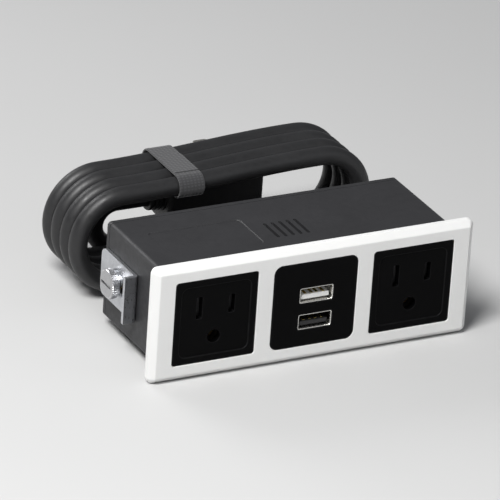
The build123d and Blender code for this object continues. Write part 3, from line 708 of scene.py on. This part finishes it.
# rear cover
b = Build()
cp = soft([(1.6, 46.2), (0.0, 46.2), (0.0, 44.03), (0.4, 44.03)], [0.6, 0.1], n=5)
outer = [b.loop(rrect(116.0 - 2 * i, 36.8 - 2 * i, max(1.5 - i * 0.5, 0.5)), y) for i, y in cp]
b.loft(outer)
tops, ends = [], []
for hx, hz, hr in [(sx * 53.4, sz * 13.8, 1.6) for sx in (-1, 1) for sz in (-1, 1)] + [(CORD_X, 0.0, 5.0)]:
    loops = [b.loop(circle(hr + o, hx, hz, n=36), y) for o, y in soft([(0.3, 46.2), (0.0, 46.2), (0.0, 44.03)], [0.2], n=3)]
    b.loft(loops)
    tops.append(loops[0])
    ends.append(loops[-1])
b.fill(outer[0], *tops)
b.fill(outer[-1], *ends)
for sz in (-1, 1):
    z0, z1 = sorted((sz * 15.5, sz * 16.7))
    b.rbox(-48, 48, 42.6, 44.2, z0, z1, r=0.25)
for sx in (-1, 1):
    x0, x1 = sorted((sx * 55.1, sx * 56.3))
    b.rbox(x0, x1, 42.6, 44.2, -9, 9, r=0.25)
# cooling ribs raised on the plate's outside
for k in range(7):
    x = -34 + k * 7.0
    b.rbox(x - 0.6, x + 0.6, 46.0, 46.55, -11.0, 11.0, r=0.24, seg=3)
b.done("rear_cover_plate", "base", M["housing"], ["rear_cover"], "black_housing", angle=45)

# cover screws: pan heads with a cross recess
b, cut = Build(), Build()
for sx in (-1, 1):
    for sz in (-1, 1):
        o = (sx * 53.4, 46.2, sz * 13.8)
        dome = soft([(2.8, 0.0), (2.8, 1.0), (1.9, 1.8), (0.0, 1.85)], [0.6, 0.8], n=5)
        ridge = []
        y = -0.6
        while y > -11.4:
            ridge += [(1.45, y), (1.22, y - 0.25)]
            y -= 0.5
        b.lathe([(0.0, -12.2), (0.9, -12.2)] + ridge[::-1] + [(1.45, -0.3), (1.45, 0.0)] + dome, o, (0, 1, 0), n=40)
        a = math.radians(17 + 31 * sx + 13 * sz)
        cross = []
        for y, reach, half in ((0.6, 1.0, 0.22), (2.2, 1.65, 0.38)):
            row = []
            for q in range(4):
                for lx, lz in ((reach, -half), (reach, half), (half, half)):
                    t = a + q * math.pi / 2
                    x, z = lx * math.cos(t) - lz * math.sin(t), lx * math.sin(t) + lz * math.cos(t)
                    row.append(cut.bm.verts.new(Vector((o[0] + x, o[1] + y, o[2] + z)) * MM))
            cross.append(row)
        cut.loft(cross)
        cut.fill(cross[0])
        cut.fill(cross[1])
b.done("cover_screw_set", "base", M["screw"], ["cover_screws"], "zinc_steel", angle=40, cut=cut)

# brass inserts with a knurled barrel
b = Build()
for sx in (-1, 1):
    inner = [(2.02, 6.9), (2.02, 0.0)]
    n = 72
    prof = [(2.4, 0.0), (2.72, 0.3), (2.8, 0.5), (2.8, 3.0), (2.5, 3.2), (2.5, 3.7), (2.8, 3.9), (2.8, 6.4), (2.6, 6.9)]
    b.lathe(prof + inner, (sx * 50.9, 34, 0), (sx, 0, 0), n=n, closed=True, wave=lambda k, i: (-0.12 if i % 2 else 0.0) if k in (2, 3, 6, 7) else 0.0)
b.done("thumb_screw_inserts", "base", M["insert"], ["bracket_inserts"], "insert_brass", angle=40)

# ------------------------------------------------------------------ brackets, washers, thumb screws
for side, sx in (("left", -1), ("right", 1)):
    b = Build()
    t = 1.5
    # outside of the bend first, from the foot's free end to the plate's free end
    out_p = soft([(63.4, 19.0), (58.05, 19.0), (58.05, 46.0)], [1.9], n=8)
    in_p = soft([(63.4, 20.5), (59.55, 20.5), (59.55, 46.0)], [0.5], n=8)
    ring = out_p + in_p[::-1]
    zs = []
    hw = 9.0
    for dz, inset in ((0.0, 0.22), (0.06, 0.08), (0.22, 0.0)):
        zs.append((-hw + dz, inset))
    zs += [(hw - 0.22, 0.0), (hw - 0.06, 0.08), (hw, 0.22)]
    rings = []
    cxp = [(p[0], p[1]) for p in ring]
    m = len(ring)
    for z, ins in zs:
        vs = []
        for i, (x, y) in enumerate(cxp):
            px, py = cxp[i - 1]
            nx_, ny_ = cxp[(i + 1) % m]
            tx, ty = nx_ - px, ny_ - py
            L = math.hypot(tx, ty) or 1.0
            # inward normal of the ring
            vx, vy = ty / L, -tx / L
            vs.append(b.bm.verts.new(Vector((sx * (x - vx * ins * -1), y - vy * ins * -1, z)) * MM))
        rings.append(vs)
    b.loft(rings)
    b.fill(rings[0])
    b.fill(rings[-1])
    cut = Build("x")
    x0, x1 = sorted((sx * 57.0, sx * 61.0))
    slot = []
    for i in range(17):
        slot.append((29.0 - 2.2 * math.sin(math.pi * i / 16), -2.2 * math.cos(math.pi * i / 16)))
    for i in range(17):
        slot.append((41.0 + 2.2 * math.sin(math.pi * i / 16), 2.2 * math.cos(math.pi * i / 16)))
    lo, hi = cut.loop(slot, x0), cut.loop(slot, x1)
    cut.loft([lo, hi])
    cut.fan(lo)
    cut.fan(hi)
    # round the plate's two free corners
    for sz in (-1, 1):
        pts = [(47.0, sz * 9.6), (47.0, sz * 5.9), (46.05, sz * 5.9)]
        for i in range(9):
            a = math.radians(90 * i / 8)
            pts.append((43.0 + 3.0 * math.cos(a), sz * (6.0 + 3.0 * math.sin(a))))
        pts.append((42.9, sz * 9.6))
        lo, hi = cut.loop(pts, x0), cut.loop(pts, x1)
        cut.loft([lo, hi])
        cut.fill(lo)
        cut.fill(hi)
    b.done(f"{side}_clamp_bracket", f"{side}_bracket", M["zinc"], [f"{side}_bracket"], "zinc_steel", angle=35, cut=cut)
    # pressed gussets in the bend
    g = Build()
    for gz in (-6.0, 6.0):
        rows = []
        for z, k in ((-0.75, 0.55), (-0.45, 0.9), (0.0, 1.0), (0.45, 0.9), (0.75, 0.55)):
            e = 2.1 * k
            rows.append([g.bm.verts.new(Vector((sx * x, y, gz + z)) * MM) for x, y in ((59.3, 20.3), (59.5 + e, 20.3), (59.5 + e, 20.5), (59.5 + e * 0.5, 20.5 + e * 0.5), (59.5, 20.5 + e), (59.3, 20.5 + e))])
        g.loft(rows)
        g.fan(rows[0])
        g.fan(rows[-1])
    g.done(f"{side}_bracket_gussets", f"{side}_bracket", M["zinc"], [], "zinc_steel", angle=60)

    b = Build()
    b.lathe(soft([(2.1, 0.0), (4.5, 0.0), (4.5, 0.8), (2.1, 0.8), (2.1, 0.4)], [0.15, 0.25, 0.12], n=3) + [(2.1, 0.1)], (sx * 59.6, 34, 0), (sx, 0, 0), n=56, closed=True)
    b.done(f"{side}_flat_washer", f"{side}_washer", M["zinc"], [f"{side}_washer"], "zinc_steel", angle=40)

    b, cut = Build(), Build()
    n = 160
    head = [(1.97, 9.25), (4.7, 9.25), (5.1, 9.4), (5.45, 9.7), (5.45, 10.3), (5.45, 11.0), (5.45, 11.6), (5.1, 11.9), (4.7, 12.1), (4.2, 12.2), (3.2, 12.2), (0.0, 12.2)]
    ridge = []
    tt = 9.2
    while tt > 1.2:
        ridge += [(1.97, tt), (1.66, tt - 0.35)]
        tt -= 0.7
    pr = [(0.0, 0.0), (1.2, 0.0), (1.6, 0.4)] + ridge[::-1][:-1] + head
    first = len(pr) - len(head) + 3
    def knurl(k, i, first=first):
        return (-0.34 if (i % 4) in (2, 3) else 0.03) if first <= k <= first + 3 else 0.0
    b.lathe(pr, (sx * 51.2, 34, 0), (sx, 0, 0), n=n, wave=knurl)
    x0, x1 = sorted((sx * 62.6, sx * 64.0))
    cut.rbox(x0, x1, 34 - 3.8, 34 + 3.8, -0.5, 0.5, r=0)
    b.done(f"{side}_knurled_screw", f"{side}_thumb_screw", M["screw"], [f"{side}_thumb_screw"], "zinc_steel", angle=30, cut=cut)

# ------------------------------------------------------------------ shutter springs
for side, cx in (("left", -OUT_X), ("right", OUT_X)):
    for pole, px in (("neutral", -1), ("line", 1)):
        a, c = cx + px * (HALF + 2.05), cx + px * 13.75
        pts = []
        turns, steps = 6.0, 150
        for i in range(steps + 1):
            u = i / steps
            # closed end coils
            s = 0.06 * (u / 0.15) if u < 0.15 else (0.94 + 0.06 * ((u - 0.85) / 0.15) if u > 0.85 else 0.06 + 0.88 * (u - 0.15) / 0.7)
            th = 2 * math.pi * turns * u
            pts.append((a + (c - a) * (0.03 + 0.94 * s), 0.1 + 0.55 * math.cos(th), BLADE_Z + 0.55 * math.sin(th)))
        b = Build()
        b.tube(pts, 0.14, n=8)
        sp = b.done(f"{side}_{pole}_coil", "base", M["spring"], [f"{side}_{pole}_spring"], "spring_steel", angle=80, weighted=False)
        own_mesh(sp)

# ------------------------------------------------------------------ cord and strain relief
b = Build()
rib = [(6.8, 41.6), (6.8, 43.98), (4.95, 43.98), (4.95, 46.22), (6.0, 46.22), (6.2, 46.45), (6.2, 48.1), (5.9, 48.4)]
for k in range(4):
    y = 48.5 + 1.7 * k
    r0 = 5.55 - 0.12 * k
    rib += [(r0 - 1.05, y + 0.05), (r0 - 1.05, y + 0.55), (r0, y + 0.75), (r0 - 0.03, y + 1.45), (r0 - 0.35, y + 1.65)]
rib = [p for p in rib if p[1] <= 54.8] + [(4.2, 54.8), (3.56, 54.75), (3.53, 54.4), (3.53, 41.8)]
b.lathe(rib, (CORD_X, 0, 0), (0, 1, 0), n=56, closed=True)
b.done("cord_strain_relief", "base", M["plug"], ["strain_relief"], "plug_black", angle=50)


def arc(c, r, a0, a1, y, n):
    return [(c[0] + r * math.cos(math.radians(a0 + (a1 - a0) * i / n)), y, c[1] + r * math.sin(math.radians(a0 + (a1 - a0) * i / n))) for i in range(n + 1)]


pts = [(CORD_X, y, 0.0) for y in np.linspace(40.0, Y1 - 10.0, 12)]
ca = math.cos(math.radians(45))
for i in range(1, 15):
    a = math.radians(90 * i / 14)
    d = 10.0 * (1 - math.cos(a))
    pts.append((CORD_X - d * ca, Y1 - 10.0 + 10.0 * math.sin(a), -d * ca))
drop = LOOP_R - 10.0 * ca - 14.0 * (1 - ca)
px, pz = pts[-1][0], pts[-1][2]
for i in range(1, 6):
    pts.append((px - drop * i / 5, Y1, pz - drop * i / 5))
px, pz = pts[-1][0], pts[-1][2]
cxx, czz = px - 14.0 * ca, -LOOP_R + 14.0
for i in range(1, 9):
    a = math.radians(45 * (1 - i / 8))
    pts.append((cxx + 14.0 * math.sin(a), Y1, czz - 14.0 * math.cos(a)))
x_from = pts[-1][0]
for k in range(LOOPS):
    y = Y1 + PITCH * k
    pts += [(x, y, -LOOP_R) for x in np.linspace(x_from, -LOOP_X, 30)[1:]]
    pts += arc((-LOOP_X, 0.0), LOOP_R, -90, -270, y, 36)[1:]
    for u in np.linspace(0, 1, 42)[1:]:
        pts.append((-LOOP_X + 2 * LOOP_X * u, y + PITCH * u * u * (3 - 2 * u), LOOP_R))
    y += PITCH
    pts += arc((LOOP_X, 0.0), LOOP_R, 90, -90, y, 36)[1:]
    x_from = LOOP_X
pts += [(x, YN, -LOOP_R) for x in np.linspace(LOOP_X, -30.0, 30)[1:]]
RE = LOOP_R / 2
pts += arc((-30.0, -RE), RE, -90, -270, YN, 26)[1:]
pts += [(x, YN, 0.0) for x in np.linspace(-30.0, -8.0, 12)[1:]]
b = Build()
b.tube(pts, CORD_R, n=28)
b.done("supply_cord", "base", M["cord"], ["power_cord"], "cord_black", angle=60, weighted=False)

# hook-and-loop ties around the strands
def ramp_y(x):
    u = (x + LOOP_X) / (2 * LOOP_X)
    return PITCH * u * u * (3 - 2 * u)


TIE_X = -16.0
b = Build("x")
for z, lo, hi in ((-LOOP_R, Y1, YN), (LOOP_R, Y1 + ramp_y(TIE_X - 5), YN - PITCH + ramp_y(TIE_X + 5))):
    c, ext = (lo + hi) / 2, hi - lo + 7.5

    def stad(g, n=14):
        """Stadium outline grown by g."""
        w, h = ext + 2 * g, 7.5 + 2 * g
        out = []
        r = h / 2
        for sy, a0 in ((1, -90), (-1, 90)):
            for i in range(n + 1):
                a = math.radians(a0 + 180 * i / n)
                out.append((c + sy * (w / 2 - r) + r * math.cos(a), z + r * math.sin(a)))
            m_ = 16
            y_a, z_a = out[-1]
            y_b = c - sy * (w / 2 - r)
            for i in range(1, m_):
                out.append((y_a + (y_b - y_a) * i / m_, z_a))
        return out
    lv = [(-5.0, 0.18, 0.52), (-4.85, 0.06, 0.64), (-4.6, 0.0, 0.7), (4.6, 0.0, 0.7), (4.85, 0.06, 0.64), (5.0, 0.18, 0.52)]
    outs = [b.loop(stad(g1), TIE_X + x) for x, g0, g1 in lv]
    ins = [b.loop(stad(g0), TIE_X + x) for x, g0, g1 in lv]
    b.loft(outs)
    b.loft(ins)
    b.loft([outs[0], ins[0]])
    b.loft([outs[-1], ins[-1]])
    # overlapping tail
    sz = 1 if z > 0 else -1
    zt = z + sz * (3.75 + 0.7)
    y0, y1_ = c - ext / 2 + 5.0, c + 3.0
    tail = []
    for i in range(15):
        a = math.radians(-90 + 180 * i / 14)
        tail.append((y1_ + 3.0 * math.cos(a), TIE_X + 4.7 * math.sin(a)))
    tail += [(y0, TIE_X + 4.7), (y0, TIE_X - 4.7)]
    for zz0, zz1 in ((zt - 0.1, zt + 0.32),):
        a_ = [b.bm.verts.new(Vector((q[1], q[0], zz0)) * MM) for q in tail]
        b2 = [b.bm.verts.new(Vector((q[1], q[0], zz1)) * MM) for q in tail]
        mid = Vector((TIE_X, (y0 + y1_) / 2, 0))
        b3 = []
        for q in tail:
            d = Vector((q[1] - mid.x, q[0] - mid.y, 0))
            d = d * (1 - 0.35 / max(d.length, 1e-6))
            b3.append(b.bm.verts.new(Vector((mid.x + d.x, mid.y + d.y, zz1 + 0.12)) * MM))
        b.loft([a_, b2, b3])
        b.fill(a_)
        b.fill(b3)
b.done("hook_and_loop_ties", "base", M["tie"], ["cord_ties"], "tie_black", angle=50)

# ------------------------------------------------------------------ plug
b = Build()
X0, X1 = -12.0, 27.0
cx = (X0 + X1) / 2
yb, yf = YN - 8.0, YN + 8.0
bp = soft([(6.0, yb), (0.0, yb), (0.0, yf), (3.2, yf), (3.6, yf - 0.25), (4.4, yf - 0.25)], [3.0, 1.3, 0.15, 0.15], n=8)
loops = [b.loop(rrect(39.0 - 2 * i, 25.0 - 2 * i, max(5.5 - i * 0.75, 1.0), cx=cx, n=12), y) for i, y in bp]
b.loft(loops)
b.fan(loops[0])
PIN_X = 4.0
BX = PIN_X + 11.86
tops = []
for hx, hz, w_, h_ in ((BX, HALF, 6.41, 1.56), (BX, -HALF, 6.41, 1.56)):
    lp = [b.loop(rrect(w_ + 2 * o, h_ + 2 * o, 0.15 + o, cx=hx, cz=hz, n=4), y) for o, y in ((0.12, yf - 0.25), (0.0, yf - 0.37), (0.0, yf - 8.05))]
    b.loft(lp)
    b.fan(lp[-1])
    tops.append(lp[0])
lp = [b.loop(circle(2.82 + o, PIN_X, 0.0, n=40), y) for o, y in ((0.12, yf - 0.25), (0.0, yf - 0.37), (0.0, yf - 8.05))]
b.loft(lp)
b.fan(lp[-1])
tops.append(lp[0])
b.fill(loops[-1], *tops)
# grip ridges on both long sides
for sz in (-1, 1):
    for k in range(6):
        x = X0 + 7.0 + k * 2.4
        z0, z1 = sorted((sz * 12.1, sz * 12.95))
        b.rbox(x - 0.55, x + 0.55, YN - 4.6, YN + 5.6, z0, z1, r=0.38, seg=3)
# boot around the cord
boot = [(5.9, 4.0), (5.8, -0.4), (5.6, -0.6)]
for k in range(3):
    t0 = -0.9 - 1.7 * k
    boot += [(4.75 - 0.1 * k, t0), (4.75 - 0.1 * k, t0 - 0.6), (5.5 - 0.18 * k, t0 - 0.8), (5.4 - 0.18 * k, t0 - 1.5)]
boot += [(4.9, -6.0), (3.7, -6.0), (3.53, -5.8), (3.53, 3.9)]
b.lathe(boot, (X0, YN, 0), (1, 0, 0), n=48, closed=True)
b.done("plug_moulding", "base", M["plug"], ["plug_body"], "plug_black", angle=45)

b = Build("z")
for sz in (-1, 1):
    z = sz * HALF
    ya, yt = yf - 8.0, yf + 17.5
    def outline(g):
        x0, x1 = BX - 3.175 + g, BX + 3.175 - g
        return [(x0, ya), (x1, ya), (x1, yt - 1.7), (x1 - 0.35, yt - 0.6), (x1 - 1.1, yt - g), (x0 + 1.1, yt - g), (x0 + 0.35, yt - 0.6), (x0, yt - 1.7)]
    lv = [(-0.75, 0.25), (-0.62, 0.06), (-0.5, 0.0), (0.5, 0.0), (0.62, 0.06), (0.75, 0.25)]
    loops = [b.loop(outline(g), z + w) for w, g in lv]
    b.loft(loops)
    holes = [b.loop(circle(1.6 + o, BX, yf + 12.0, n=32), z + w) for w, o in ((-0.75, 0.15), (-0.6, 0.0), (0.6, 0.0), (0.75, 0.15))]
    b.loft(holes)
    b.fill(loops[0], holes[0])
    b.fill(loops[-1], holes[-1])
b.done("plug_blade_pair", "base", M["blade"], ["plug_blades"], "plug_nickel", angle=40)
b = Build()
tip = [(2.38, 18.2)] + [(2.38 - 1.6 * (1 - math.cos(math.radians(a))), 18.4 + 1.6 * math.sin(math.radians(a))) for a in range(10, 91, 10)] + [(0.0, 20.0)]
b.lathe([(0.0, -8.0), (2.8, -8.0), (2.8, -0.3), (2.38, -0.25), (2.38, 6.0)] + tip, (PIN_X, yf, 0), (0, 1, 0), n=48)
b.done("plug_earth_pin", "base", M["blade"], ["plug_ground_pin"], "plug_nickel", angle=40)

# ------------------------------------------------------------------ CAD nodes that stay, with softened edges
CARRY = {
    "left_outlet_body": ("case", 0.2), "right_outlet_body": ("case", 0.2), "charger_case": ("case", 0.25),
    "charger_board": ("board", 0.08), "transformer_core": ("ferrite", 0.2), "transformer_coil": ("tape", 0.0),
    "charger_capacitors": ("sleeve", 0.0), "charger_rectifier": ("chip", 0.2), "charger_chip": ("chip", 0.1), "charger_fuse": ("glass", 0.0),
    "line_wires": ("wire_black", 0.0), "neutral_wires": ("wire_white", 0.0), "ground_wires": ("wire_green", 0.0), "wire_terminals": ("nylon", 0.12),
}
for sd in ("left", "right"):
    for pole in ("line", "neutral"):
        CARRY[f"{sd}_{pole}_shutter"] = ("shutter", 0.15)
    for pole in ("line", "neutral", "ground"):
        CARRY[f"{sd}_{pole}_contact"] = ("brass", 0.08)
for name, (mat, soften) in CARRY.items():
    ob = NODES[name]
    for s in ob.material_slots:
        s.material = M[mat]
    w = ob.modifiers.new("weld", "WELD")
    w.merge_threshold = 2e-6
    if soften:
        bv = ob.modifiers.new("edges", "BEVEL")
        bv.width, bv.segments, bv.limit_method, bv.angle_limit = soften * MM, 2, "ANGLE", math.radians(50)
    wn = ob.modifiers.new("normals", "WEIGHTED_NORMAL")
    wn.keep_sharp = True

# ------------------------------------------------------------------ stage
lo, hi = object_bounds()
FLOOR_Z = lo.z - 0.0002
bm = bmesh.new()
n = 40
verts = [[bm.verts.new(((i / n - 0.5) * 6.0, (j / n - 0.5) * 6.0, FLOOR_Z)) for j in range(n + 1)] for i in range(n + 1)]
for i in range(n):
    for j in range(n):
        bm.faces.new((verts[i][j], verts[i + 1][j], verts[i + 1][j + 1], verts[i][j + 1]))
me = bpy.data.meshes.new("floor")
bm.to_mesh(me)
bm.free()
floor = bpy.data.objects.new("floor", me)
bpy.context.scene.collection.objects.link(floor)
g = Graph("floor_pale")
g.set(Base_Color=g.mix(g.remap(g.noise(3.0, 3.0), 0.0, 1.0), (0.545, 0.545, 0.542), (0.57, 0.57, 0.567)), Roughness=0.75)
# seen from below, the floor is clear
clear, side, mixer = g.n("ShaderNodeBsdfTransparent"), g.n("ShaderNodeNewGeometry"), g.n("ShaderNodeMixShader")
g.link(side.outputs["Backfacing"], mixer.inputs[0])
g.link(g.p.outputs[0], mixer.inputs[1])
g.link(clear.outputs[0], mixer.inputs[2])
g.link(mixer.outputs[0], g.out.inputs[0])
me.materials.append(g.mat)
floor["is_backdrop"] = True


def area(name, loc, target, size, power, colour=(1, 1, 1)):
    d = bpy.data.lights.new(name, "AREA")
    d.shape, d.size, d.energy, d.color = "DISK", size, power, colour
    o = bpy.data.objects.new(name, d)
    bpy.context.scene.collection.objects.link(o)
    o.location = loc
    o.rotation_mode = "QUATERNION"
    o.rotation_quaternion = (Vector(target) - Vector(loc)).to_track_quat("-Z", "Y")
    return o


area("key", (-0.52, -0.30, 0.85), (0, 0.02, 0), 0.42, 13.8, (1.0, 0.997, 0.992))
area("fill", (0.85, -0.75, 0.55), (0, 0.03, 0), 0.9, 1.1, (0.96, 0.98, 1.0))
area("rim", (-0.35, 0.95, 0.55), (0, 0.06, 0), 0.6, 4.0)

world = bpy.data.worlds.new("soft_room")
bpy.context.scene.world = world
world.use_nodes = True
bg = world.node_tree.nodes["Background"]
bg.inputs[0].default_value = (0.93, 0.95, 1.0, 1)
bg.inputs[1].default_value = 0.17
bpy.context.scene.view_settings.view_transform = "Standard"
bpy.context.scene.view_settings.look = "None"

cam = bpy.data.cameras.new("camera")
cam.sensor_width = 36.0
cam.lens = 392.0
cam.clip_start, cam.clip_end = 0.1, 50.0
co = bpy.data.objects.new("camera", cam)
bpy.context.scene.collection.objects.link(co)
az, el, dist = math.radians(-28.5), math.radians(25.3), 1.96
back = Vector((math.sin(az) * math.cos(el), -math.cos(az) * math.cos(el), math.sin(el)))
target = Vector((0.0, 0.046, -0.002))
co.location = target + back * dist
co.rotation_mode = "QUATERNION"
look = (-back).to_track_quat("-Z", "Y")
roll = Matrix.Rotation(math.radians(4.0), 4, "Z").to_quaternion()
co.rotation_quaternion = look @ roll
bpy.context.scene.camera = co

lo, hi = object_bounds()
